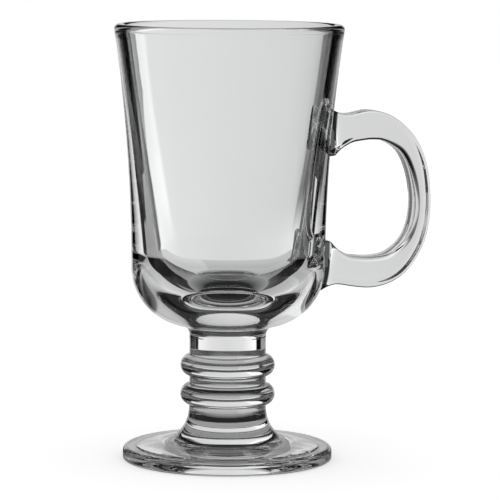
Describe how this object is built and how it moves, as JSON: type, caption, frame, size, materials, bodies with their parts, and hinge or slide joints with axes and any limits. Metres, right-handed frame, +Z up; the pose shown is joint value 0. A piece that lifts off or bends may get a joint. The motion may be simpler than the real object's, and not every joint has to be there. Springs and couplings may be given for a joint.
{
  "type": "irish coffee mug",
  "caption": "Clear pressed-glass footed mug: flared thick-walled bowl, ringed stem, round foot and an ear-shaped side handle.",
  "frame": {"origin": "centre of the plane that the foot rests on", "axes": "+Z up along the mug's axis, +X from the axis towards the handle"},
  "size_m": [0.1075, 0.0766, 0.146],
  "materials": {
    "bowl_glass": "clear, fire-polished",
    "handle_glass": "clear, pressed",
    "stem_glass": "clear, pressed",
    "foot_glass": "clear, pressed"
  },
  "bodies": {
    "root": {"bowl": "bowl_glass", "handle": "handle_glass", "stem": "stem_glass", "foot": "foot_glass"}
  },
  "joints": []
}
